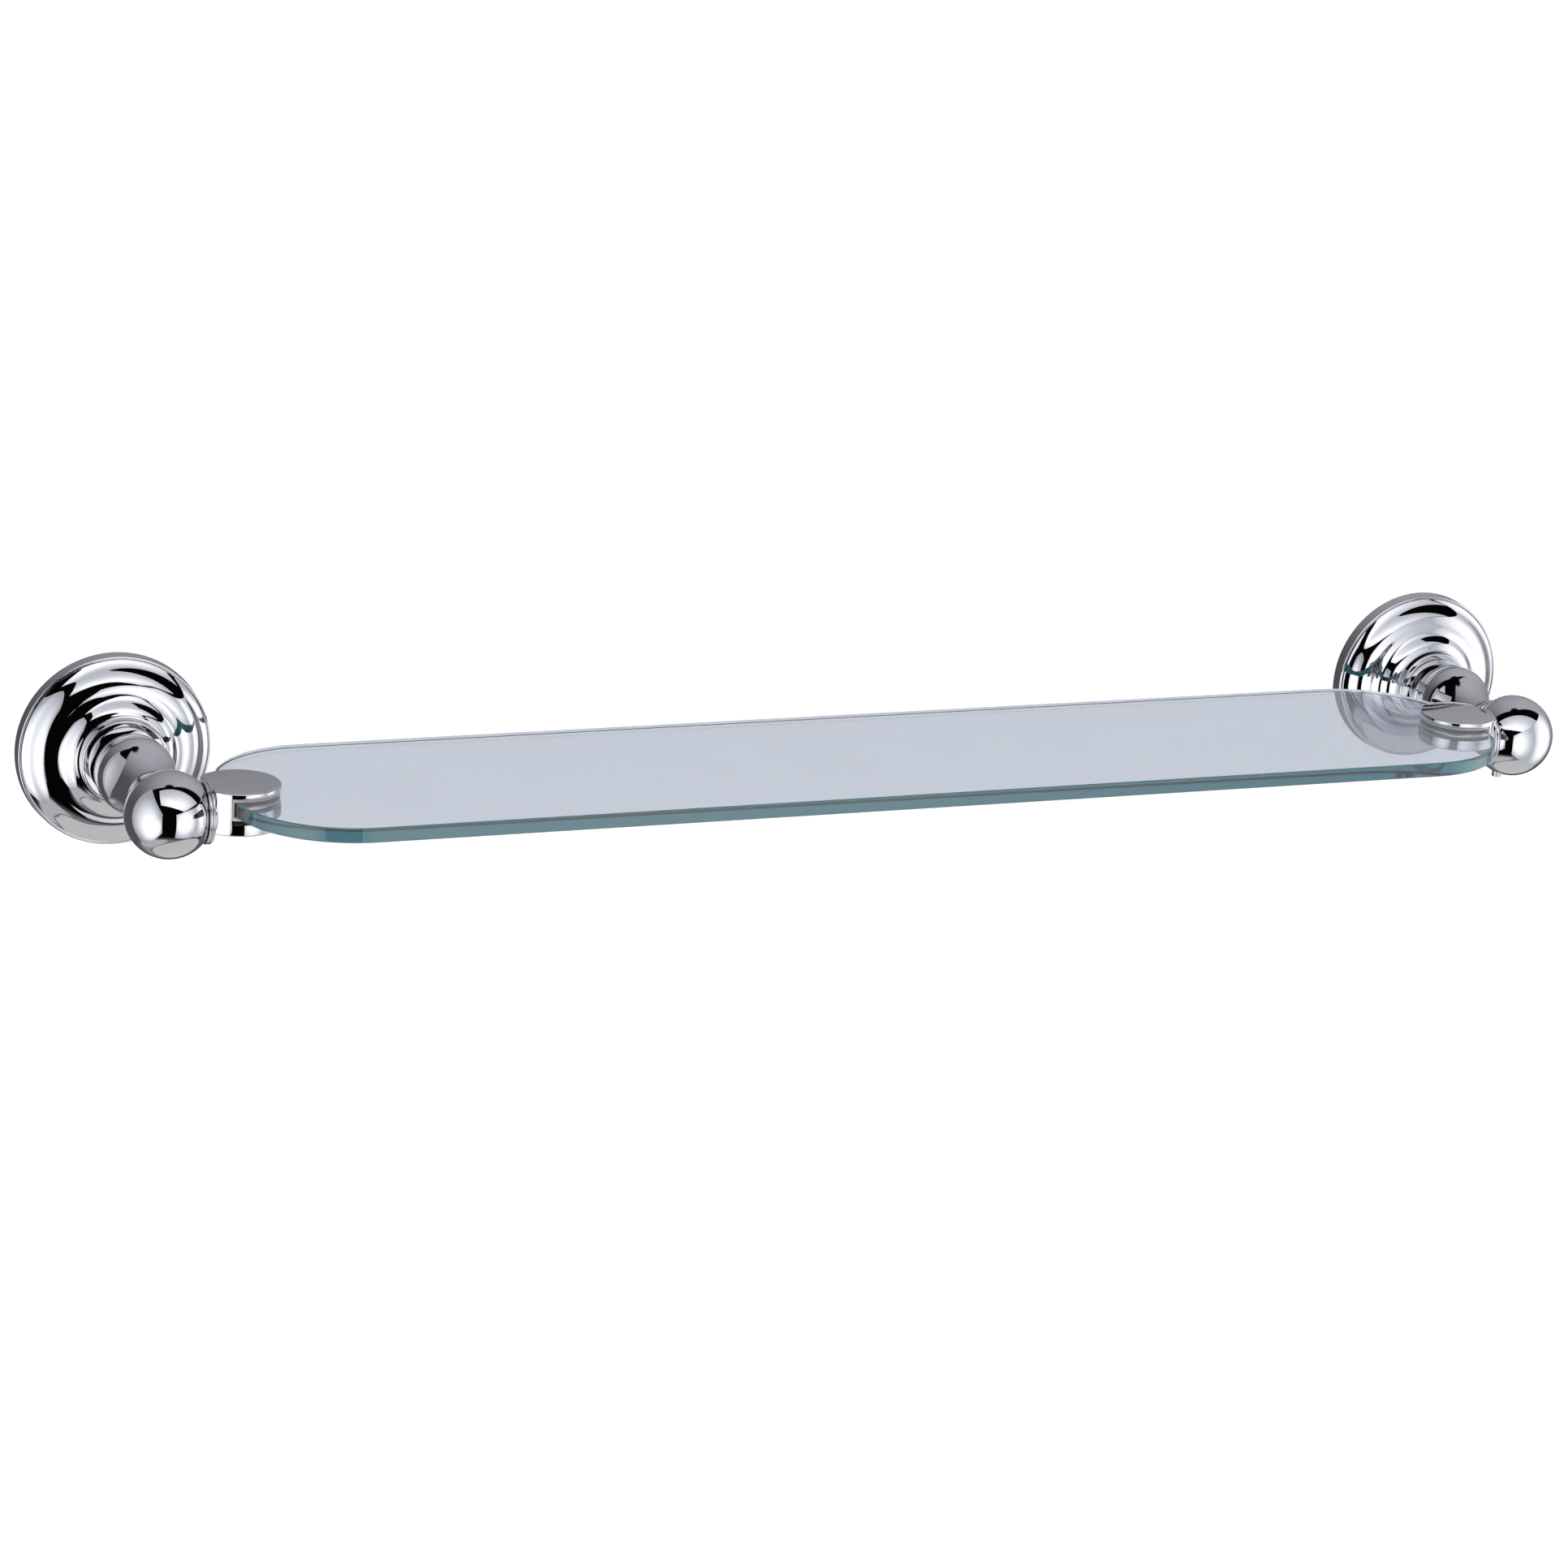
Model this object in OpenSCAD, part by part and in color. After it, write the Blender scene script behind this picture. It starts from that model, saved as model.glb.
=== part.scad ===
// Bathroom wall shelf: a glass plate held at each end by a turned chrome bracket.
// Frame: origin on the wall plane, midway between the brackets, at the height of
// their axes. X runs along the shelf, the room is towards -Y and Z points up.

/* [Shelf glass] */
// Length of the glass plate, end to end
glass_l = 500; // [400:5:700]
// Depth of the glass plate, back edge to front edge
glass_w = 100; // [90:1:106]
// Thickness of the glass plate
glass_t = 5.5; // [5:0.1:5.9]
// Radius of the plate's four corners
glass_corner_r = 41; // [20:1:44]
// Height of the glass top above the bracket axis
glass_top_h = 7.4; // [7.2:0.1:7.5]

/* [Bracket] */
// Distance between the axes of the two brackets
bracket_spacing = 540; // [440:5:740]
// Distance from the wall to the ball's centre
reach = 81; // [78:0.5:90]
// Diameter of the ball at the front of each post
ball_d = 31.5; // [31:0.1:33]
// Length by which the right ball's set screw stands out of the ball
screw_proud = 1.4; // [0:0.1:3]

/* [Rose] */
// Diameter of the round wall rose
rose_d = 72; // [71.5:0.1:74]
// Depth of the rose's straight outer side
rim_t = 5; // [4.8:0.1:5.2]
// Radius at which the outer ridge's flank rounds over to its top
ridge1_r = 28; // [27.5:0.1:28.4]
// Height of the outer ridge above the wall
ridge1_h = 10.9; // [10.6:0.1:11.1]
// Radius at which the inner ridge starts to rise
valley_r = 22.6; // [22.3:0.1:23]
// Radius at which the inner ridge's flank rounds over to its top
ridge2_r = 17.3; // [17.1:0.1:17.6]
// Height of the inner ridge above the wall
ridge2_h = 15.5; // [15.4:0.1:15.9]
// Radius of the small stepped ring around the post
step_r = 15.6; // [15.4:0.1:15.8]
// Height of the rose's front face above the wall
rose_h = 18.8; // [18.4:0.1:19.2]

/* [Post] */
// Radius of the post's foot against the rose
foot_r = 13.3; // [12.8:0.1:13.8]
// Radius of the post's round shoulder
shoulder_r = 14.4; // [14.2:0.1:14.7]
// Distance of the shoulder's crest from the wall
shoulder_h = 34.3; // [34:0.1:35]
// Radius of the slim waist between the shoulder and the ball
waist_r = 7.7; // [7.4:0.1:8]
// Radius of the neck behind the ball
neck_r = 8.6; // [8.4:0.1:8.8]

/* [Glass holder] */
// Diameter of the upright round body of the holder
holder_d = 30; // [29:0.5:31]
// Distance from the ball's centre to the holder body's axis
holder_out = 25; // [24.5:0.1:26]
// Height of the holder's flat top above the bracket axis
holder_top = 10.6; // [10.6:0.1:11.5]
// Depth of the holder's underside below the bracket axis
holder_bottom = 5; // [5:0.1:6]
// Height of the slot's roof above the bracket axis
slot_top = 8.7; // [8.7:0.1:8.9]
// Depth of the slot's floor below the bracket axis
slot_floor = 0.8; // [0.6:0.1:1]
// Distance from the ball's centre to the slot's end wall
slot_start = 18.9; // [18.5:0.1:19]
// Radius of the flange between the ball and the holder body
flange_r = 11.3; // [11:0.1:11.7]
// Radius of the stem that turns in the ball
stem_r = 5; // [4.5:0.1:5.2]

/* [Hidden] */

$fn = 96;
hex_sides = 6;
arc_steps = 8;
eps = 0.01;
over = 1;
chrome = [0.80, 0.80, 0.83];
steel = [0.55, 0.56, 0.58];
zinc = [0.66, 0.67, 0.68];
brass = [0.79, 0.66, 0.35];
clear_plastic = [0.88, 0.92, 0.94];
nylon = [0.90, 0.90, 0.88];
glass = [0.70, 0.86, 0.84];

rose_r = rose_d / 2;
ball_r = ball_d / 2;
holder_r = holder_d / 2;

// Wall plate
plate_back_r = 21.5;
plate_front_r = 23.5;
plate_t = 5.5;
plate_hole_r = 2.3;
plate_hole_pitch = 28;
countersink_r = 4.4;
countersink_h = 2.4;

// Rose: grooved edge, then two ridges, each a steep flank that rounds over.
// Slopes are degrees down towards the edge of the rose.
edge_break = 0.4;
rim_draft = 0.3;
groove_out_r = rose_r - 0.9;
groove_in_r = rose_r - 1.4;
groove_depth = 0.35;
foot_slope = 26;
flank1_slope = 48;
flank2_slope = 44;
flank2_top_slope = 42;
round_slope = 22;
top_slope = 5;
foot_rise = 0.15;
flank1_run = 3.6;
flank1_rise = 2.2;
round1_drop = 0.9;
top1_run = 3.2;
valley_rise = 0.55;
flank2_low_run = 1.8;
flank2_low_rise = 1.6;
flank2_high_run = 2.1;
flank2_high_drop = 1.7;
round2_drop = 0.5;
top2_run = 0.5;
top2_drop = 0.05;
step_foot = 0.1;
bend_steps = 6;
step_round = 0.8;
spigot_bore_r = 8.1;
skin = 2.2;
floor_t = 3.2;
rose_inside_h = rose_h - floor_t;
pocket_r = 12.2;
pocket_rise = 0.2;
hollow_r = rose_r - 2.4;

// Screw that locks the rose to its wall plate
thread_gap = 0.05;
grub_r = 2;
rose_grub_r = 1.5;
rose_grub_y = 2.5;
grub_boss_w = 6;
grub_boss_h = 4.6;
grub_boss_start = rose_r - 1.5;
grub_boss_gap = 1;
rose_grub_sunk = 0.7;
tip_gap = 0.1;
socket_r = 1.15;
socket_depth = 2.2;

// Post and its screw
scotia_depth = 0.5;
scotia_h = 9.4;
bead_r = 0.5;
bead_half_h = 0.6;
bead_gap = 0.1;
bead2_out = 0.2;
bead1_y = rose_h + scotia_h + bead_half_h;
bead2_y = bead1_y + 2 * bead_half_h + bead_gap;
shoulder_round = 1;
shoulder_foot = 0.9;
brow_w = 5.4;
brow_h = 9;
brow_turn = 48;
waist_y = shoulder_h + 22.7;
taper_w = 27.1;
taper_h = 27.9;
taper_turn = 35;
neck_dip = 0.1;
neck_ring_r = 10.2;
neck_ring_round = 1.2;
neck_ring_y = 66.1;
spigot_l = 3;
m6_r = 3;
post_bore_l = 17;
post_screw_l = 16;
washer_r = 11;
washer_t = 1.5;
washer_gap = 0.2;
washer_y = rose_inside_h - washer_t;
head_r = 5;
head_h = 3.8;
recess_w = 1.2;
recess_l = 5;
recess_depth = 2;

// Ball: flat seats for the post and the holder, socket for the stem
ball_seat = sqrt(ball_r * ball_r - (neck_r + 0.1) * (neck_r + 0.1));
neck_end_y = reach - ball_seat;
ball_face = 11.7;
flange_gap = 0.3;
stem_gap = 0.06;
socket_past = 3.5;
stem_past = 3;
stud_l = 18;
stud_into_ball = 7.1;
stud_end_gap = 0.3;
stem_screw_x = 5;
stem_screw_tip = 4.5;
stem_flat = 4;
stem_flat_end = ball_face - 1.7;

// Flange with its two beads
flange_x = ball_face + flange_gap;
flange_bead = 0.6;
flange_w = 4 * flange_bead;
flange_end = flange_x + flange_w;
flange_bite = 0.5;

// Holder's screw, pad and sleeve
holder_edge = 0.5;
sleeve_gap = 0.1;
sleeve_r = holder_r - 0.4;
sleeve_web = 0.8;
sleeve_leaf = 1.1;
glass_bottom_h = glass_top_h - glass_t;
leaf_bottom_h = glass_bottom_h - sleeve_gap - sleeve_leaf;
pad_x = 29;
pad_r = 5;
pad_floor = -0.6;
m5_r = 2.5;
clamp_screw_l = holder_bottom + pad_floor;

// Points along part of an ellipse, from angle a0 to angle a1
function arc(c, half_x, half_y, a0, a1, n = arc_steps) = [
    for (i = [0:n])
        let (a = a0 + (a1 - a0) * i / n)
            [c[0] + half_x * cos(a), c[1] + half_y * sin(a)]
];

// Smooth bend from one [radius, height, slope] station to the next one further in
function bend(outer, inner) = [
    for (i = [1:bend_steps])
        let (
            t = i / bend_steps,
            run = outer[0] - inner[0],
            rise = (3 - 2 * t) * t * t,
            leave = t * (1 - t) * (1 - t) * run * tan(outer[2]),
            arrive = t * t * (1 - t) * run * tan(inner[2])
        )
        [outer[0] - run * t, outer[1] + (inner[1] - outer[1]) * rise + leave - arrive]
];

// Stations along the rose's face, from the groove in its edge to the stepped ring
foot = [groove_in_r, rim_t + foot_rise, foot_slope];
flank1 = [ridge1_r + flank1_run, rim_t + flank1_rise, flank1_slope];
round1 = [ridge1_r, ridge1_h - round1_drop, round_slope];
top1 = [ridge1_r - top1_run, ridge1_h, top_slope];
valley = [valley_r, ridge1_h + valley_rise, round_slope];
flank2_low = [valley_r - flank2_low_run, ridge1_h + flank2_low_rise, flank2_slope];
flank2_high = [ridge2_r + flank2_high_run, ridge2_h - flank2_high_drop, flank2_top_slope];
round2 = [ridge2_r, ridge2_h - round2_drop, round_slope];
top2 = [step_r + top2_run, ridge2_h - top2_drop, top_slope];

// Outline of the rose's face, as [radius, distance from the wall]
function rose_face() = concat(
    [[rose_r, 0], [rose_r - rim_draft, rim_t - edge_break]],
    [[rose_r - rim_draft - edge_break, rim_t], [groove_out_r, rim_t]],
    [[(groove_out_r + groove_in_r) / 2, rim_t - groove_depth], [foot[0], foot[1]]],
    bend(foot, flank1), bend(flank1, round1), bend(round1, top1),
    bend(top1, valley), bend(valley, flank2_low), bend(flank2_low, flank2_high),
    bend(flank2_high, round2), bend(round2, top2),
    [[step_r, ridge2_h + step_foot]],
    arc([step_r - step_round, rose_h - step_round], step_round, step_round, 0, 90, 4)
);

// Point one skin thickness behind a station of the face
function behind(station) = [
    station[0] - skin * sin(station[2]),
    station[1] - skin * cos(station[2])
];

// Outline of the hollow inside the rose
function rose_hollow() = [
    [hollow_r, -over],
    [hollow_r, rim_t / 2],
    behind(flank1), behind(round1), behind(top1), behind(valley),
    behind(flank2_low), behind(flank2_high), behind(round2),
    [pocket_r, behind(round2)[1] + pocket_rise],
    [pocket_r, rose_inside_h],
    [0, rose_inside_h],
    [0, -over]
];

// The post's front half: it rounds off its shoulder, then hollows down to its waist
function post_taper() = concat(
    arc([shoulder_r - brow_w, shoulder_h], brow_w, brow_h, 0, brow_turn),
    arc([waist_r + taper_w, waist_y], taper_w, taper_h, 180 + taper_turn, 180)
);

// Outline of the post, as [radius, distance from the wall]
function post_outline() = concat(
    [[0, rose_h]],
    arc([foot_r, rose_h + scotia_h / 2], -scotia_depth, scotia_h / 2, -90, 90),
    arc([foot_r, bead1_y], bead_r, bead_half_h, -90, 90),
    arc([foot_r + bead2_out, bead2_y], bead_r, bead_half_h, -80, 90),
    arc([shoulder_r - shoulder_round, shoulder_h],
        shoulder_round, shoulder_h - bead2_y - shoulder_foot, -80, -15, 4),
    post_taper(),
    [[(waist_r + neck_r) / 2 - neck_dip, (waist_y + neck_ring_y) / 2]],
    [[neck_r, neck_ring_y - neck_ring_round]],
    arc([neck_ring_r - neck_ring_round, neck_ring_y], neck_ring_round, neck_ring_round, -90, 90),
    [[neck_r, neck_ring_y + neck_ring_round], [neck_r, neck_end_y], [0, neck_end_y]]
);

// Places a bracket part; its own +X points to the middle of the shelf
module at_left() {
    translate([-bracket_spacing / 2, 0, 0]) children();
}

module at_right() {
    translate([bracket_spacing / 2, 0, 0]) mirror([1, 0, 0]) children();
}

// Turns a shape that stands on the XY plane so that it stands out from the wall
module from_wall(distance = 0) {
    translate([0, -distance, 0]) rotate([90, 0, 0]) children();
}

// Hexagon socket set screw, tip at the origin and socket end at z = -length
module grub_screw(r, length) {
    color(steel) difference() {
        union() {
            translate([0, 0, -length]) cylinder(r = r - thread_gap, h = length - edge_break);
            translate([0, 0, -edge_break - eps])
                cylinder(r1 = r - thread_gap, r2 = r - thread_gap - edge_break, h = edge_break + eps);
        }
        translate([0, 0, -length - eps])
            cylinder(r = r * socket_r / grub_r, h = socket_depth, $fn = hex_sides);
    }
}

module wall_plate() {
    color(zinc) difference() {
        from_wall() cylinder(r1 = plate_back_r, r2 = plate_front_r, h = plate_t);
        for (side = [-1, 1]) translate([0, 0, side * plate_hole_pitch / 2]) {
            from_wall(-over) cylinder(r = plate_hole_r, h = plate_t + 2 * over);
            from_wall(plate_t - countersink_h)
                cylinder(r1 = plate_hole_r, r2 = countersink_r, h = countersink_h + eps);
        }
    }
}

module rose() {
    color(chrome) difference() {
        union() {
            difference() {
                from_wall() rotate_extrude()
                    polygon(concat([[0, 0]], rose_face(), [[0, rose_h]]));
                from_wall() rotate_extrude() polygon(rose_hollow());
            }
            translate([-grub_boss_w / 2, -grub_boss_h, -grub_boss_start])
                cube([grub_boss_w, grub_boss_h, grub_boss_start - plate_front_r - grub_boss_gap]);
        }
        from_wall(rose_inside_h - over) cylinder(r = spigot_bore_r, h = floor_t + 2 * over);
        translate([0, -rose_grub_y, -rose_r - over])
            cylinder(r = rose_grub_r, h = rose_r - plate_back_r);
    }
}

module rose_grub_screw() {
    reach_in = (plate_front_r - plate_back_r) * (rose_grub_y + rose_grub_r) / plate_t;
    tip = plate_back_r + reach_in + tip_gap;
    translate([0, -rose_grub_y, -tip]) grub_screw(rose_grub_r, rose_r - rose_grub_sunk - tip);
}

module post() {
    color(chrome) difference() {
        union() {
            from_wall() rotate_extrude() polygon(post_outline());
            from_wall(rose_h - spigot_l)
                cylinder(r = spigot_bore_r - thread_gap, h = spigot_l + over);
        }
        from_wall(rose_h - spigot_l - over) cylinder(r = m6_r, h = post_bore_l + over);
        from_wall(neck_end_y - stud_l + stud_into_ball - over) cylinder(r = m6_r, h = stud_l);
    }
}

module post_washer() {
    color(steel) difference() {
        from_wall(washer_y) cylinder(r = washer_r, h = washer_t);
        from_wall(washer_y - over) cylinder(r = m6_r + washer_gap, h = washer_t + 2 * over);
    }
}

module post_screw() {
    color(steel) difference() {
        union() {
            from_wall(washer_y - head_h) cylinder(r = head_r, h = head_h);
            from_wall(washer_y - eps) cylinder(r = m6_r - thread_gap, h = post_screw_l);
        }
        for (turn = [0, 90]) from_wall(washer_y - head_h - eps) rotate([0, 0, turn])
            translate([-recess_l / 2, -recess_w / 2, 0]) cube([recess_l, recess_w, recess_depth]);
    }
}

module ball() {
    color(chrome) difference() {
        translate([0, -reach, 0]) intersection() {
            sphere(r = ball_r);
            translate([-ball_r - over, -ball_r - over, -ball_r - over])
                cube([ball_r + over + ball_face, ball_r + over + ball_seat, 2 * (ball_r + over)]);
        }
        from_wall(neck_end_y - over) cylinder(r = m6_r, h = stud_into_ball + over + stud_end_gap);
        translate([-socket_past, -reach, 0]) rotate([0, 90, 0])
            cylinder(r = stem_r + stem_gap, h = socket_past + ball_r);
        translate([stem_screw_x, -reach, -ball_r - over])
            cylinder(r = grub_r, h = ball_r - stem_r + 2 * over);
    }
}

module ball_stud() {
    color(brass) from_wall(neck_end_y - stud_l + stud_into_ball)
        cylinder(r = m6_r - thread_gap, h = stud_l);
}

// Set screw under the ball; proud is how far it stands out of the ball
module stem_grub_screw(proud) {
    ball_z = sqrt(ball_r * ball_r - stem_screw_x * stem_screw_x);
    translate([stem_screw_x, -reach, -stem_screw_tip])
        grub_screw(grub_r, ball_z + proud - stem_screw_tip);
}

// Upright cylinder of the holder, cut off flat at its flange
module holder_body() {
    height = holder_top + holder_bottom;
    intersection() {
        translate([holder_out, 0, -holder_bottom]) rotate_extrude() polygon([
            [0, 0], [holder_r - holder_edge, 0], [holder_r, holder_edge],
            [holder_r, height - holder_edge], [holder_r - holder_edge, height], [0, height]
        ]);
        translate([flange_end - flange_bite, -holder_r - over, -holder_bottom - over])
            cube([2 * (holder_r + over), 2 * (holder_r + over), height + 2 * over]);
    }
}

module holder_flange() {
    translate([flange_x, 0, 0]) rotate([0, 90, 0]) rotate_extrude() polygon(concat(
        [[0, 0]],
        arc([flange_r - flange_bead, flange_bead], flange_bead, flange_bead, -90, 90),
        arc([flange_r - flange_bead, 3 * flange_bead], flange_bead, flange_bead, -80, 90),
        [[0, flange_w]]
    ));
}

module holder() {
    color(chrome) translate([0, -reach, 0]) difference() {
        union() {
            translate([-stem_past, 0, 0]) rotate([0, 90, 0])
                cylinder(r = stem_r, h = stem_past + flange_x + over);
            holder_flange();
            holder_body();
        }
        translate([-stem_past - over, -stem_r, -stem_r - over])
            cube([stem_past + over + stem_flat_end, 2 * stem_r, stem_r + over - stem_flat]);
        translate([slot_start, -holder_r - over, -slot_floor])
            cube([2 * holder_r, 2 * (holder_r + over), slot_floor + slot_top]);
        translate([pad_x, 0, -holder_bottom - over])
            cylinder(r = m5_r, h = holder_bottom - slot_floor + 2 * over);
    }
}

// Clear lining of the slot: two leaves joined by a web behind the glass end
module glass_sleeve() {
    color(clear_plastic) translate([0, -reach, 0]) difference() {
        intersection() {
            translate([holder_out, 0, leaf_bottom_h])
                cylinder(r = sleeve_r, h = slot_top - leaf_bottom_h);
            translate([slot_start, -holder_r, leaf_bottom_h - over])
                cube([2 * holder_r, 2 * holder_r, slot_top - leaf_bottom_h + 2 * over]);
        }
        translate([slot_start + sleeve_web, -holder_r - over, glass_bottom_h - sleeve_gap])
            cube([2 * holder_r, 2 * (holder_r + over), glass_t + 2 * sleeve_gap]);
    }
}

module pressure_pad() {
    color(nylon) translate([pad_x, -reach, pad_floor])
        cylinder(r = pad_r, h = leaf_bottom_h - pad_floor);
}

module glass_grub_screw() {
    translate([pad_x, -reach, pad_floor]) grub_screw(m5_r, clamp_screw_l);
}

module glass_outline() {
    straight_l = glass_l - 2 * glass_corner_r;
    straight_w = glass_w - 2 * glass_corner_r;
    square([glass_l, straight_w], center = true);
    square([straight_l, glass_w], center = true);
    for (sx = [-1, 1], sy = [-1, 1])
        translate([sx * straight_l / 2, sy * straight_w / 2]) circle(r = glass_corner_r);
}

module glass_shelf() {
    color(glass) translate([0, -reach, glass_bottom_h])
        linear_extrude(height = glass_t) glass_outline();
}

at_left() wall_plate();  // left_wall_plate
at_left() rose();  // left_rose
at_left() rose_grub_screw();  // left_rose_grub_screw
at_left() post();  // left_post
at_left() post_screw();  // left_post_screw
at_left() post_washer();  // left_post_washer
at_left() ball();  // left_ball
at_left() ball_stud();  // left_ball_stud
at_left() holder();  // left_holder
at_left() stem_grub_screw(0);  // left_stem_grub_screw
at_left() glass_sleeve();  // left_glass_sleeve
at_left() pressure_pad();  // left_pressure_pad
at_left() glass_grub_screw();  // left_glass_grub_screw
at_right() wall_plate();  // right_wall_plate
at_right() rose();  // right_rose
at_right() rose_grub_screw();  // right_rose_grub_screw
at_right() post();  // right_post
at_right() post_screw();  // right_post_screw
at_right() post_washer();  // right_post_washer
at_right() ball();  // right_ball
at_right() ball_stud();  // right_ball_stud
at_right() holder();  // right_holder
at_right() stem_grub_screw(screw_proud);  // right_stem_grub_screw
at_right() glass_sleeve();  // right_glass_sleeve
at_right() pressure_pad();  // right_pressure_pad
at_right() glass_grub_screw();  // right_glass_grub_screw
glass_shelf();
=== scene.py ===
import math

import bmesh
import bpy
from mathutils import Matrix, Vector


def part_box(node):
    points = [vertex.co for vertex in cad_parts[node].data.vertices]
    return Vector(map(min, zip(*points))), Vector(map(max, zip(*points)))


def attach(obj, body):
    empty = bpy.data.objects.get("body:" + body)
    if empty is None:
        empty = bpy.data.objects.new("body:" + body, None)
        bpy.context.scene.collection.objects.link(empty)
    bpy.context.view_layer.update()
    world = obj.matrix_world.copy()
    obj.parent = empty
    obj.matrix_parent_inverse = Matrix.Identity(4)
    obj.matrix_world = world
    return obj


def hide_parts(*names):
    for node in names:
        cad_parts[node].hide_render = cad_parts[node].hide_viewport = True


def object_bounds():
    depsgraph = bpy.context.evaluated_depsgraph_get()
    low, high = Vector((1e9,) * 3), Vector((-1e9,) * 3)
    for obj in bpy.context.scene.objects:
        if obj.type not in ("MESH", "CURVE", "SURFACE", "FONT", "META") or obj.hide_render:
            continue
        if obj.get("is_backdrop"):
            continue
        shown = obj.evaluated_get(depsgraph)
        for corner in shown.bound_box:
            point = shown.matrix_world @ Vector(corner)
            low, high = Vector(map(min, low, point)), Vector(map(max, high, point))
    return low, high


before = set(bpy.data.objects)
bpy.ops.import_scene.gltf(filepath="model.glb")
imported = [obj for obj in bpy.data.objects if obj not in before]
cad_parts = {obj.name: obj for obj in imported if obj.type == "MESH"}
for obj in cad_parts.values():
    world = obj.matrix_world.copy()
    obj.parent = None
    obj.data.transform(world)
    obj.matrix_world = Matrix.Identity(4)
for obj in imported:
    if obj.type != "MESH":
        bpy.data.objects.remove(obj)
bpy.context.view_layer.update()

# X runs along the wall to the right, Y into the wall and Z up, all in metres.
MM = 0.001
SIDES = ("left", "right")

# ---------------------------------------------------------------- camera
# The photograph's view: lens and place found from the outlines of the roses, balls and glass.
SENSOR = 36.0
LENS = 108.1204
CLIP_NEAR = 0.05
CLIP_FAR = 60
CAMERA_AT = Vector((-0.681994, -1.604948, 0.511359))
CAMERA_YAW = 0.3999
CAMERA_PITCH = -0.3010
CAMERA_ROLL = 0.0652


def camera_axes(yaw, pitch, roll):
    """Right, up and forward of a camera that turns, then tips, then rolls."""
    ahead = math.cos(pitch)
    forward = Vector((math.sin(yaw) * ahead, math.cos(yaw) * ahead, math.sin(pitch)))
    level_right = Vector((math.cos(yaw), -math.sin(yaw), 0))
    level_up = level_right.cross(forward)
    right = level_right * math.cos(roll) + level_up * math.sin(roll)
    up = level_up * math.cos(roll) - level_right * math.sin(roll)
    return right, up, forward


def make_camera():
    data = bpy.data.cameras.new("camera")
    data.sensor_width = SENSOR
    data.lens = LENS
    data.clip_start = CLIP_NEAR
    data.clip_end = CLIP_FAR
    camera = bpy.data.objects.new("camera", data)
    right, up, forward = camera_axes(CAMERA_YAW, CAMERA_PITCH, CAMERA_ROLL)
    turn = Matrix((right, up, -forward)).transposed().to_4x4()
    camera.matrix_world = Matrix.Translation(CAMERA_AT) @ turn
    bpy.context.scene.collection.objects.link(camera)
    bpy.context.scene.camera = camera


# ---------------------------------------------------------------- node helpers
def add(tree, kind, **settings):
    node = tree.nodes.new(kind)
    for key, value in settings.items():
        setattr(node, key, value)
    return node


def noise(tree, scale, detail, stretch=(1, 1, 1)):
    """Fine noise fixed to the object, as a value from 0 to 1."""
    where = add(tree, "ShaderNodeTexCoord")
    mapping = add(tree, "ShaderNodeMapping")
    mapping.inputs["Scale"].default_value = stretch
    tree.links.new(where.outputs["Object"], mapping.inputs["Vector"])
    node = add(tree, "ShaderNodeTexNoise")
    node.inputs["Scale"].default_value = scale
    node.inputs["Detail"].default_value = detail
    tree.links.new(mapping.outputs["Vector"], node.inputs["Vector"])
    return node.outputs["Fac"]


def remap(tree, source, low, high):
    """A value from 0 to 1 becomes one from low to high."""
    node = add(tree, "ShaderNodeMapRange")
    node.inputs["To Min"].default_value = low
    node.inputs["To Max"].default_value = high
    tree.links.new(source, node.inputs["Value"])
    return node.outputs["Result"]


def smooth_range(tree, source, start, end):
    """Rises smoothly from 0 to 1 as the source goes from start to end."""
    node = add(tree, "ShaderNodeMapRange", interpolation_type="SMOOTHSTEP")
    node.inputs["From Min"].default_value = start
    node.inputs["From Max"].default_value = end
    tree.links.new(source, node.inputs["Value"])
    return node.outputs["Result"]


def mix_in(tree, factor, below, above):
    """Lays one colour over another; either may be a colour or an output socket."""
    node = add(tree, "ShaderNodeMix", data_type="RGBA")
    tree.links.new(factor, node.inputs["Factor"])
    for socket, value in ((node.inputs["A"], below), (node.inputs["B"], above)):
        if isinstance(value, tuple):
            socket.default_value = (*value, 1)
        else:
            tree.links.new(value, socket)
    return node.outputs["Result"]


def along(tree, vector, direction):
    node = add(tree, "ShaderNodeVectorMath", operation="DOT_PRODUCT")
    node.inputs[1].default_value = direction
    tree.links.new(vector, node.inputs[0])
    return node.outputs["Value"]


def math_node(tree, operation, *values):
    """Each value may be a float or an output socket."""
    node = add(tree, "ShaderNodeMath", operation=operation)
    for socket, value in zip(node.inputs, values):
        if isinstance(value, float):
            socket.default_value = value
        else:
            tree.links.new(value, socket)
    return node.outputs["Value"]


def bump(tree, shader, height, strength, distance):
    node = add(tree, "ShaderNodeBump")
    node.inputs["Strength"].default_value = strength
    node.inputs["Distance"].default_value = distance
    tree.links.new(height, node.inputs["Height"])
    tree.links.new(node.outputs["Normal"], shader.inputs["Normal"])


# ---------------------------------------------------------------- materials
GLASS_IOR = 1.52


def new_material(name):
    material = bpy.data.materials.new(name)
    material.use_nodes = True
    tree = material.node_tree
    return material, tree, tree.nodes["Principled BSDF"]


def grained_material(name, scale, detail, dark, light, rough, stretch=(1, 1, 1)):
    """A material whose colour and roughness follow one fine noise, which comes back last."""
    material, tree, shader = new_material(name)
    grain = noise(tree, scale, detail, stretch)
    tree.links.new(mix_in(tree, grain, dark, light), shader.inputs["Base Color"])
    tree.links.new(remap(tree, grain, *rough), shader.inputs["Roughness"])
    return material, tree, shader, grain


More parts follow.
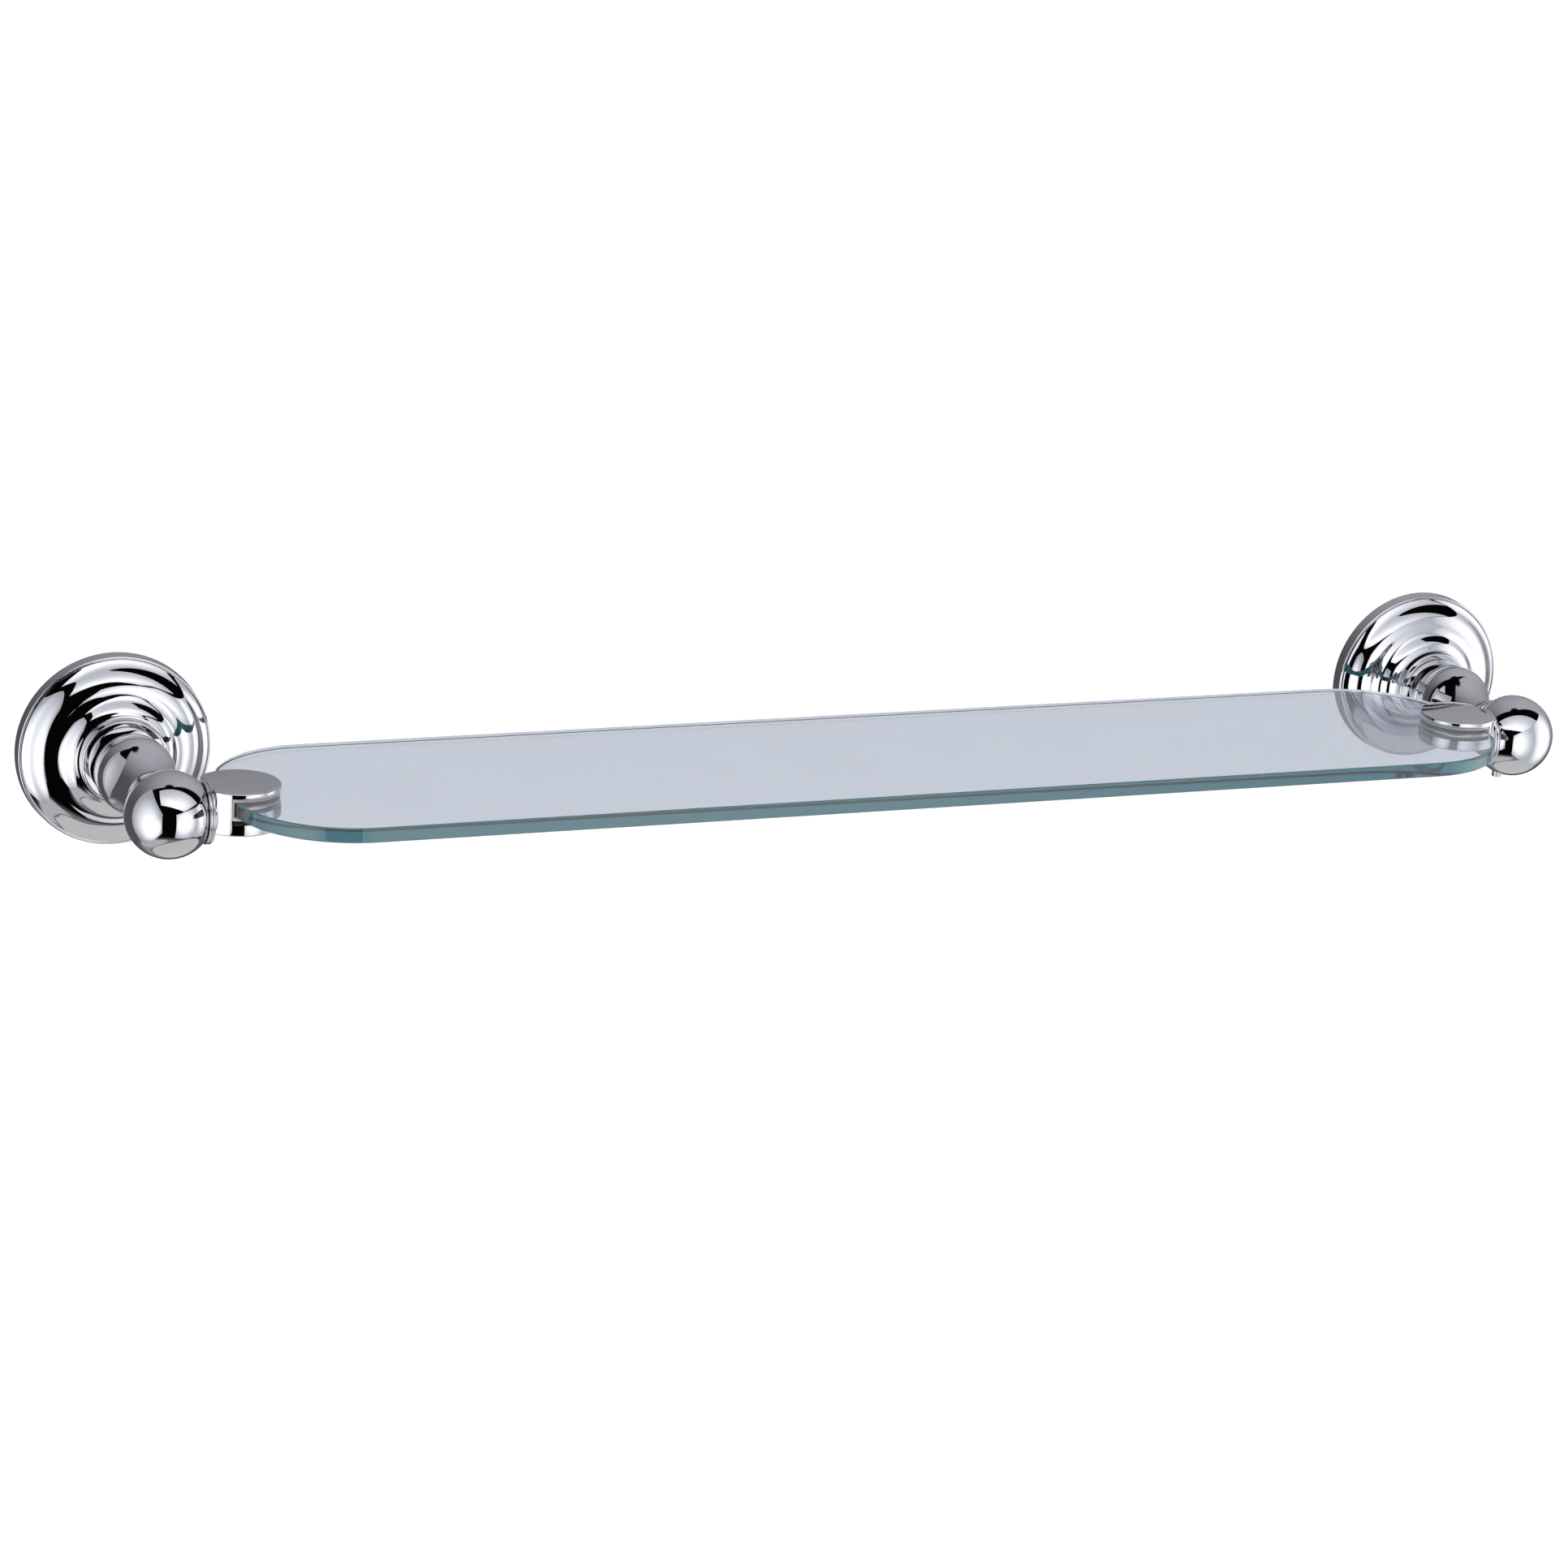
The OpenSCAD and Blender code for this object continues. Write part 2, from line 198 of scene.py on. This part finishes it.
def chrome_material():
    """Slightly hazy polish with a faint ripple that is finer than the haze."""
    material, tree, shader, _ = grained_material(
        "polished_chrome", scale=180.0, detail=5.0,
        dark=(0.585, 0.59, 0.61), light=(0.63, 0.635, 0.65), rough=(0.015, 0.05))
    shader.inputs["Metallic"].default_value = 1.0
    ripple = noise(tree, scale=900.0, detail=2.0)
    bump(tree, shader, ripple, strength=0.04, distance=0.00002)
    return material


def metal_material(name, dark, light, rough, stretch=(1, 1, 1)):
    material, tree, shader, grain = grained_material(
        name, scale=1400.0, detail=6.0, dark=dark, light=light, rough=rough, stretch=stretch)
    shader.inputs["Metallic"].default_value = 1.0
    bump(tree, shader, grain, strength=0.2, distance=0.00003)
    return material


def nylon_material():
    material, tree, shader, mottle = grained_material(
        "natural_nylon", scale=500.0, detail=4.0,
        dark=(0.72, 0.72, 0.69), light=(0.80, 0.80, 0.77), rough=(0.45, 0.6))
    shader.inputs["Subsurface Weight"].default_value = 0.1
    bump(tree, shader, mottle, strength=0.1, distance=0.00005)
    return material


def clear_plastic_material():
    """Slightly milky, so that the leaf between the glass and the metal catches the light."""
    material, tree, shader, ripple = grained_material(
        "clear_plastic", scale=350.0, detail=3.0,
        dark=(0.93, 0.915, 0.88), light=(0.99, 0.975, 0.94), rough=(0.04, 0.12))
    shader.inputs["IOR"].default_value = 1.4
    shader.inputs["Transmission Weight"].default_value = 0.55
    bump(tree, shader, ripple, strength=0.1, distance=0.0001)
    return material


def glass_material():
    """Lightly tinted through its thickness; the absorption makes the long way blue-green."""
    material, tree, shader, _ = grained_material(
        "float_glass", scale=25.0, detail=3.0,
        dark=(0.785, 0.722, 0.81), light=(0.815, 0.752, 0.84), rough=(0.0, 0.01))
    shader.inputs["IOR"].default_value = GLASS_IOR
    shader.inputs["Transmission Weight"].default_value = 0.96
    absorb = add(tree, "ShaderNodeVolumeAbsorption")
    absorb.inputs["Color"].default_value = (0.31, 0.70, 0.715, 1)
    absorb.inputs["Density"].default_value = 52.0
    tree.links.new(absorb.outputs["Volume"], tree.nodes["Material Output"].inputs["Volume"])
    return material


def arris_material():
    """The narrow ground chamfer round both faces of the plate, opaque and darker than the edge:
    its dark teal is painted shade for the dark line along the edge.
    """
    # Painted shade: the near-black teal stands in for the dark line the plate's edge shows, not
    # for a dark finish on the chamfer.
    material, tree, shader, grain = grained_material(
        "arris_painted_shade", scale=600.0, detail=3.0,
        dark=(0.035, 0.085, 0.09), light=(0.07, 0.14, 0.145), rough=(0.2, 0.4))
    shader.inputs["IOR"].default_value = GLASS_IOR
    bump(tree, shader, grain, strength=0.1, distance=0.00002)
    return material


def floor_material():
    material, tree, shader = new_material("pale_floor")
    cloud = noise(tree, scale=1.5, detail=3.0)
    tint = mix_in(tree, cloud, (0.90, 0.90, 0.905), (0.93, 0.93, 0.93))
    tree.links.new(tint, shader.inputs["Base Color"])
    shader.inputs["Roughness"].default_value = 0.9
    return material


# ---------------------------------------------------------------- mesh helpers
LATHE_STEPS = 256
BEND_STEPS = 10
SMOOTH_ANGLE = math.radians(28)
SAME_POINT = 1e-7
ON_AXIS = 1e-6


def piece_from(name, mesh_data, material, body, slot, *nodes):
    """A visible piece that rides on a body and stands for the CAD nodes named."""
    obj = bpy.data.objects.new(name, mesh_data)
    bpy.context.scene.collection.objects.link(obj)
    obj.data.materials.append(material)
    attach(obj, body)
    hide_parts(*nodes)
    return obj


def finish_mesh(bm, name):
    """Turns a bmesh into a mesh, smooth except along its sharp edges."""
    bmesh.ops.remove_doubles(bm, verts=bm.verts, dist=SAME_POINT)
    bmesh.ops.recalc_face_normals(bm, faces=bm.faces)
    for face in bm.faces:
        face.smooth = True
    for edge in bm.edges:
        edge.smooth = edge.calc_face_angle(0) < SMOOTH_ANGLE
    mesh = bpy.data.meshes.new(name)
    bm.to_mesh(mesh)
    bm.free()
    return mesh


def ring_at(bm, radius, height):
    """One round of a lathed shape; on the axis it is a single point."""
    if radius < ON_AXIS:
        return [bm.verts.new((0, 0, height))]
    ring = []
    for i in range(LATHE_STEPS):
        angle = 2 * math.pi * i / LATHE_STEPS
        ring.append(bm.verts.new((radius * math.cos(angle), radius * math.sin(angle), height)))
    return ring


def lathe(profile, place):
    """Spins (radius, height) points in millimetres about Z, then puts the shape at place."""
    bm = bmesh.new()
    rings = [ring_at(bm, radius, height) for radius, height in profile]
    for first, second in zip(rings, rings[1:]):
        for i in range(LATHE_STEPS):
            j = (i + 1) % LATHE_STEPS
            near = (first[i % len(first)], first[j % len(first)])
            far = (second[j % len(second)], second[i % len(second)])
            bm.faces.new(list(dict.fromkeys(near + far)))
    bmesh.ops.transform(bm, matrix=place, verts=bm.verts)
    return bm


def from_wall(x):
    """A lathe's Z axis becomes the way out from the wall; millimetres become metres."""
    turn = Matrix.Rotation(math.radians(90), 4, "X")
    return Matrix.Translation((x, 0, 0)) @ turn @ Matrix.Scale(MM, 4)


# ---------------------------------------------------------------- profiles
# Points are (radius, distance from the wall) in millimetres.
def arc(centre, half_r, half_h, start, end, steps):
    """Points along part of an ellipse, from one angle to another in degrees."""
    points = []
    for i in range(steps + 1):
        angle = math.radians(start + (end - start) * i / steps)
        points.append((centre[0] + half_r * math.cos(angle), centre[1] + half_h * math.sin(angle)))
    return points


def bend(outer, inner):
    """Smooth curve between two (radius, height, slope) stations, the second further in."""
    points = []
    run = outer[0] - inner[0]
    for i in range(1, BEND_STEPS + 1):
        t = i / BEND_STEPS
        rise = (3 - 2 * t) * t * t
        leave = t * (1 - t) ** 2 * run * math.tan(math.radians(outer[2]))
        arrive = t * t * (1 - t) * run * math.tan(math.radians(inner[2]))
        points.append((outer[0] - run * t,
                       outer[1] + (inner[1] - outer[1]) * rise + leave - arrive))
    return points


# Radius, height and slope in degrees, from the groove in over both ridges.
ROSE_STATIONS = (
    (34.45, 5.2, 26), (31.6, 7.2, 48), (28.0, 10.0, 22), (24.8, 10.9, 5), (22.6, 11.45, 22),
    (20.8, 12.5, 44), (19.4, 13.8, 42), (17.3, 15.0, 22), (16.1, 15.45, 6))
# The inside, from the hole in the middle back out to the wall.
ROSE_HOLLOW = [
    (8.1, 15.6), (12.2, 15.6), (12.2, 13.1), (16.5, 12.95), (17.9, 12.2), (19.3, 10.9),
    (21.8, 9.4), (24.6, 8.7), (27.2, 8.0), (30.0, 5.7), (33.6, 2.5), (33.6, 0.0)]


def rose_profile():
    """From the wall, over the grooved edge and both ridges, then back through the hollow."""
    # side, its rounded front corner and the thin groove
    face = [(36.0, 0.0), (35.75, 4.4)]
    face += arc((35.2, 4.45), 0.55, 0.55, 10, 90, 6)
    face += arc((34.85, 5.0), 0.34, 0.75, 0, -180, 8)
    face += [ROSE_STATIONS[0][:2]]
    for outer, inner in zip(ROSE_STATIONS, ROSE_STATIONS[1:]):
        face += bend(outer, inner)
    # foot, rounded top and flat of the stepped ring that carries the post
    face += arc((16.0, 15.85), 0.4, 0.4, -100, -170, 5)
    face += arc((14.9, 18.1), 0.7, 0.7, 0, 90, 8)
    face += [(8.1, 18.8)]
    return face + ROSE_HOLLOW + [face[0]]


def post_profile():
    """From the rose: scotia, two beads, round shoulder, hollow taper, neck and ring."""
    points = [(0.0, 18.8), (12.9, 18.8)]
    # scotia
    points += arc((13.3, 23.5), -0.5, 4.7, -88, 88, 14)
    # two beads
    points += arc((13.3, 28.8), 0.5, 0.6, -80, 80, 8)
    points += arc((13.5, 30.1), 0.5, 0.6, -80, 80, 8)
    # round shoulder
    points += arc((13.4, 34.3), 1.0, 3.3, -75, -8, 8)
    points += arc((9.0, 34.3), 5.4, 9.0, 0, 48, 16)
    # hollow taper down to the neck, then out again
    points += arc((34.8, 57.0), 27.1, 27.9, 214, 180, 20)
    points += arc((12.7, 57.0), 5.0, 13.8, 177, 145, 8)
    # ring at the ball
    points += arc((9.0, 66.1), 1.2, 1.2, -88, 88, 10)
    points += [(8.6, 67.4), (8.6, 67.81), (0.0, 67.81)]
    return points


# ---------------------------------------------------------------- glass plate
GLASS_CORNER = 0.041
ARRIS = 0.0005
CORNER_STEPS = 40
QUARTER_TURN = math.radians(90)
CORNER_SIGNS = ((1, 1), (-1, 1), (-1, -1), (1, -1))


def plate_outline(centre, half_l, half_w, corner, z):
    points = []
    for turn, (sign_x, sign_y) in enumerate(CORNER_SIGNS):
        middle_x = centre.x + sign_x * (half_l - corner)
        middle_y = centre.y + sign_y * (half_w - corner)
        for i in range(CORNER_STEPS + 1):
            angle = QUARTER_TURN * (turn + i / CORNER_STEPS)
            points.append((middle_x + corner * math.cos(angle),
                           middle_y + corner * math.sin(angle), z))
    return points


def glass_mesh():
    """Plate with round corners and a small chamfer round both faces, in the second material."""
    low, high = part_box("glass_shelf")
    centre = (low + high) / 2
    half_l, half_w = (high.x - low.x) / 2, (high.y - low.y) / 2
    bm = bmesh.new()
    rings = []
    for z, inset in ((low.z, ARRIS), (low.z + ARRIS, 0), (high.z - ARRIS, 0), (high.z, ARRIS)):
        outline = plate_outline(centre, half_l - inset, half_w - inset, GLASS_CORNER - inset, z)
        rings.append([bm.verts.new(point) for point in outline])
    bm.faces.new(rings[0][::-1])
    bm.faces.new(rings[-1])
    for level, (below, above) in enumerate(zip(rings, rings[1:])):
        for i in range(len(below)):
            j = (i + 1) % len(below)
            face = bm.faces.new((below[i], below[j], above[j], above[i]))
            face.material_index = 0 if level == 1 else 1
    return finish_mesh(bm, "glass_plate")


# ---------------------------------------------------------------- softboxes, floor and wash
# A softbox's width runs from its first corner to its second, its height from its second to its
# third. The hot spot is a place in fractions of them, and the spread says at what distances from
# it, in the same measure, the light starts and ends its fall from bright to dim.
SOFTBOXES = {
    "left_softbox": {
        "corners": ((-0.87, 0.25, -0.95), (-0.87, -1.08, -0.70),
                    (-0.87, -1.08, 0.36), (-0.87, 0.25, 0.97)),
        "hot_spot": (0.58, 0.45), "spread": (0.05, 0.60), "bright": 2.2, "dim": 0.60},
    "front_softbox": {
        "corners": ((-0.19, -0.985, -0.85), (0.62, -0.54, -0.85),
                    (0.62, -0.54, 0.36), (-0.19, -0.985, 0.26)),
        "hot_spot": (0.38, 0.62), "spread": (0.10, 0.65), "bright": 1.9, "dim": 0.80},
    "right_softbox": {
        "corners": ((0.62, -0.54, -0.85), (0.90, 0.10, -0.85),
                    (0.90, 0.10, 0.36), (0.62, -0.54, 0.36)),
        "hot_spot": (0.45, 0.65), "spread": (0.10, 0.60), "bright": 1.9, "dim": 0.80},
    "overhead_softbox": {
        "corners": ((-0.51, -0.09, 0.60), (-0.75, -0.66, 0.60),
                    (0.48, -1.50, 0.60), (1.05, -0.42, 0.60)),
        "hot_spot": (0.68, 0.45), "spread": (0.15, 0.75), "bright": 1.75, "dim": 0.85},
}
SOFTBOX_CORE = (1.0, 1.0, 1.0)
SOFTBOX_RIM = (0.90, 0.91, 1.0)
UNIT_SQUARE = ((0, 0), (1, 0), (1, 1), (0, 1))

FLOOR_Z = -0.9
FLOOR_HALF = 12.0
WASH_STRENGTH = 3.3
WASH_SPREAD = math.radians(70)


def softbox_material(name, hot_spot, spread, bright, dim):
    """Light that is bright around the hot spot and falls off towards the panel's edges."""
    material = bpy.data.materials.new(name)
    material.use_nodes = True
    tree = material.node_tree
    tree.nodes.clear()
    where = add(tree, "ShaderNodeUVMap", uv_map="UVMap")
    offset = add(tree, "ShaderNodeVectorMath", operation="SUBTRACT")
    offset.inputs[1].default_value = (*hot_spot, 0)
    tree.links.new(where.outputs["UV"], offset.inputs[0])
    distance = add(tree, "ShaderNodeVectorMath", operation="LENGTH")
    tree.links.new(offset.outputs["Vector"], distance.inputs[0])
    fall = smooth_range(tree, distance.outputs["Value"], *spread)
    emission = add(tree, "ShaderNodeEmission")
    tree.links.new(mix_in(tree, fall, SOFTBOX_CORE, SOFTBOX_RIM), emission.inputs["Color"])
    tree.links.new(remap(tree, fall, bright, dim), emission.inputs["Strength"])
    output = add(tree, "ShaderNodeOutputMaterial")
    tree.links.new(emission.outputs["Emission"], output.inputs["Surface"])
    return material


def stage_quad(name, corners, material, hidden_from):
    """A flat four-cornered piece of the studio, unseen by the kinds of ray that are named."""
    bm = bmesh.new()
    face = bm.faces.new([bm.verts.new(corner) for corner in corners])
    uv = bm.loops.layers.uv.new("UVMap")
    for loop, place in zip(face.loops, UNIT_SQUARE):
        loop[uv].uv = place
    mesh = bpy.data.meshes.new(name)
    bm.to_mesh(mesh)
    bm.free()
    quad = bpy.data.objects.new(name, mesh)
    quad.data.materials.append(material)
    for ray in hidden_from:
        setattr(quad, f"visible_{ray}", False)
    bpy.context.scene.collection.objects.link(quad)
    quad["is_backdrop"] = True


def make_floor():
    corners = [(x * FLOOR_HALF, y * FLOOR_HALF, FLOOR_Z)
               for x, y in ((-1, -1), (1, -1), (1, 1), (-1, 1))]
    stage_quad("floor", corners, floor_material(), ("glossy", "transmission"))


def make_floor_wash():
    """Brings the floor up to white without showing in the chrome."""
    data = bpy.data.lights.new("floor_wash", "SUN")
    data.energy = WASH_STRENGTH
    data.angle = WASH_SPREAD
    wash = bpy.data.objects.new("floor_wash", data)
    wash.visible_glossy = False
    wash.visible_transmission = False
    bpy.context.scene.collection.objects.link(wash)


def make_softboxes():
    for name, light in SOFTBOXES.items():
        material = softbox_material(
            name, light["hot_spot"], light["spread"], light["bright"], light["dim"])
        stage_quad(name, light["corners"], material, ("camera", "transmission", "shadow"))


# ---------------------------------------------------------------- surroundings
# What the chrome and glass reflect, by direction. Each pair says where a part starts to show
# and where it shows in full: heights are the Z of a unit direction, slopes weigh X, Y and Z.
UPRIGHT = (0, 0, 1)
LEVEL = (1, 1, 0)
DARK_ROOM = (0.002, 0.002, 0.002)

BACKDROP_TURN = math.radians(8)
BACKDROP_SIDES = (0.22, 0.36)
BACKDROP_TOP = (0.992, 0.975)
BACKDROP_SLOPE = (0.35, 0, 0.5)
BACKDROP_FADE = (-0.20, 0.72)
BACKDROP_LOW = (0.12, 0.118, 0.13)
BACKDROP_HIGH = (0.62, 0.62, 0.67)

NEAR_GROUND = (0.66, 0.65, 0.68)
NEAR_SIDEWAYS = (1, 0.22, 0)
NEAR_OFF_CENTRE = (0.12, 0.42)
NEAR_FULL = (-0.72, -0.80)
NEAR_FAINT = (-0.66, -0.86)
NEAR_FAINT_SHARE = 0.5

PALE_GROUND = (0.78, 0.76, 0.755)
PALE_SLOPE = (-0.24, 0, 1)
PALE_EDGE_DROP = 0.838
PALE_FADE = (0.01, -0.03)
LINE_COLOUR = (0.12, 0.11, 0.10)
LINE_FADE = (0.010, 0.003)
LINE_SHARE = 0.8

WHITE = (1.0, 1.0, 1.0)
HALF_A_BOUNCE = 0.5


def backdrop_mask(tree, where, height):
    """The wide grey backdrop behind the shelf, which ends just short of straight up."""
    level = add(tree, "ShaderNodeVectorMath", operation="MULTIPLY")
    level.inputs[1].default_value = LEVEL
    tree.links.new(where, level.inputs[0])
    heading = add(tree, "ShaderNodeVectorMath", operation="NORMALIZE")
    tree.links.new(level.outputs["Vector"], heading.inputs[0])
    middle = (math.sin(BACKDROP_TURN), math.cos(BACKDROP_TURN), 0)
    behind = along(tree, heading.outputs["Vector"], middle)
    return math_node(tree, "MULTIPLY", smooth_range(tree, behind, *BACKDROP_SIDES),
                     smooth_range(tree, height, *BACKDROP_TOP))


def near_ground_mask(tree, where, height):
    """The ground near the shelf, full towards both sides and faint in the middle."""
    sideways = math_node(tree, "ABSOLUTE", along(tree, where, NEAR_SIDEWAYS))
    off_centre = smooth_range(tree, sideways, *NEAR_OFF_CENTRE)
    full = math_node(tree, "MULTIPLY", smooth_range(tree, height, *NEAR_FULL), off_centre)
    faint = math_node(tree, "MULTIPLY", smooth_range(tree, height, *NEAR_FAINT), NEAR_FAINT_SHARE)
    return math_node(tree, "MAXIMUM", full, faint)


def lay_pale_ground(tree, where, ground):
    """The pale ground straight below, with a thin dark line along its edge."""
    edge = math_node(tree, "ADD", along(tree, where, PALE_SLOPE), PALE_EDGE_DROP)
    line = smooth_range(tree, math_node(tree, "ABSOLUTE", edge), *LINE_FADE)
    ground = mix_in(tree, smooth_range(tree, edge, *PALE_FADE), ground, PALE_GROUND)
    return mix_in(tree, math_node(tree, "MULTIPLY", line, LINE_SHARE), ground, LINE_COLOUR)


def plain_sight(tree):
    """One for rays straight from the eye or out of the glass, zero for those off a surface."""
    path = add(tree, "ShaderNodeLightPath")
    bounced = math_node(tree, "ADD", path.outputs["Glossy Depth"], path.outputs["Diffuse Depth"])
    direct = math_node(tree, "LESS_THAN", bounced, HALF_A_BOUNCE)
    return math_node(tree, "MAXIMUM", direct, path.outputs["Is Transmission Ray"])


def make_world():
    """White to the eye; chrome and glass reflect a dark room, a grey backdrop and the ground."""
    world = bpy.data.worlds.new("studio")
    bpy.context.scene.world = world
    world.use_nodes = True
    tree = world.node_tree
    tree.nodes.clear()
    where = add(tree, "ShaderNodeTexCoord").outputs["Generated"]
    height = along(tree, where, UPRIGHT)
    fade = smooth_range(tree, along(tree, where, BACKDROP_SLOPE), *BACKDROP_FADE)
    shade = mix_in(tree, fade, BACKDROP_LOW, BACKDROP_HIGH)
    room = mix_in(tree, backdrop_mask(tree, where, height), DARK_ROOM, shade)
    ground = mix_in(tree, near_ground_mask(tree, where, height), room, NEAR_GROUND)
    ground = lay_pale_ground(tree, where, ground)
    background = add(tree, "ShaderNodeBackground")
    tree.links.new(mix_in(tree, plain_sight(tree), ground, WHITE), background.inputs["Color"])
    output = add(tree, "ShaderNodeOutputWorld")
    tree.links.new(background.outputs["Background"], output.inputs["Surface"])


# ---------------------------------------------------------------- build
JOIN_DISTANCE = 1e-6
EDGE_RADIUS = 0.0003
EDGE_SEGMENTS = 3
EDGE_ANGLE = math.radians(50)
LARGE_FACE_WEIGHT = 70


def paint(node, material):
    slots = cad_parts[node].data.materials
    slots.clear()
    slots.append(material)


def soften_edges(node):
    """Rounds a metal part's sharp edges, so that they catch the light."""
    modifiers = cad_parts[node].modifiers
    weld = modifiers.new("joined_corners", "WELD")
    weld.merge_threshold = JOIN_DISTANCE
    bevel = modifiers.new("soft_edges", "BEVEL")
    bevel.width = EDGE_RADIUS
    bevel.segments = EDGE_SEGMENTS
    bevel.limit_method = "ANGLE"
    bevel.angle_limit = EDGE_ANGLE
    normals = modifiers.new("even_shading", "WEIGHTED_NORMAL")
    normals.weight = LARGE_FACE_WEIGHT


make_camera()
chrome = chrome_material()
steel = metal_material(
    "bright_steel", dark=(0.42, 0.42, 0.43), light=(0.55, 0.55, 0.56), rough=(0.22, 0.38))
zinc = metal_material(
    "zinc_plate", dark=(0.50, 0.51, 0.52), light=(0.62, 0.63, 0.64), rough=(0.28, 0.45),
    stretch=(1, 8, 1))
brass = metal_material(
    "turned_brass", dark=(0.60, 0.46, 0.20), light=(0.72, 0.56, 0.26), rough=(0.2, 0.35))
nylon = nylon_material()
clear_plastic = clear_plastic_material()
glass = glass_material()
arris = arris_material()

CARRIED_OVER = {
    "wall_plate": zinc,
    "rose_grub_screw": steel,
    "post_screw": steel,
    "post_washer": steel,
    "ball": chrome,
    "ball_stud": brass,
    "holder": chrome,
    "stem_grub_screw": steel,
    "glass_sleeve": clear_plastic,
    "pressure_pad": nylon,
    "glass_grub_screw": steel,
}

for side in SIDES:
    low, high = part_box(f"{side}_rose")
    place = from_wall((low.x + high.x) / 2)
    rose = finish_mesh(lathe(rose_profile(), place), f"{side}_rose_shell")
    piece_from(f"{side}_rose_shell", rose, chrome, "brackets", "chrome", f"{side}_rose")
    post = finish_mesh(lathe(post_profile(), place), f"{side}_turned_post")
    piece_from(f"{side}_turned_post", post, chrome, "brackets", "chrome", f"{side}_post")
    for part, material in CARRIED_OVER.items():
        paint(f"{side}_{part}", material)
    soften_edges(f"{side}_holder")
plate = piece_from("glass_plate", glass_mesh(), glass, "glass", "shelf_glass", "glass_shelf")
# The chamfers take the second material, whose dark colour is painted shade along the plate's edge.
plate.data.materials.append(arris)

make_world()
make_floor()
make_floor_wash()
make_softboxes()
bpy.context.scene.view_settings.view_transform = "Standard"

low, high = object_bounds()
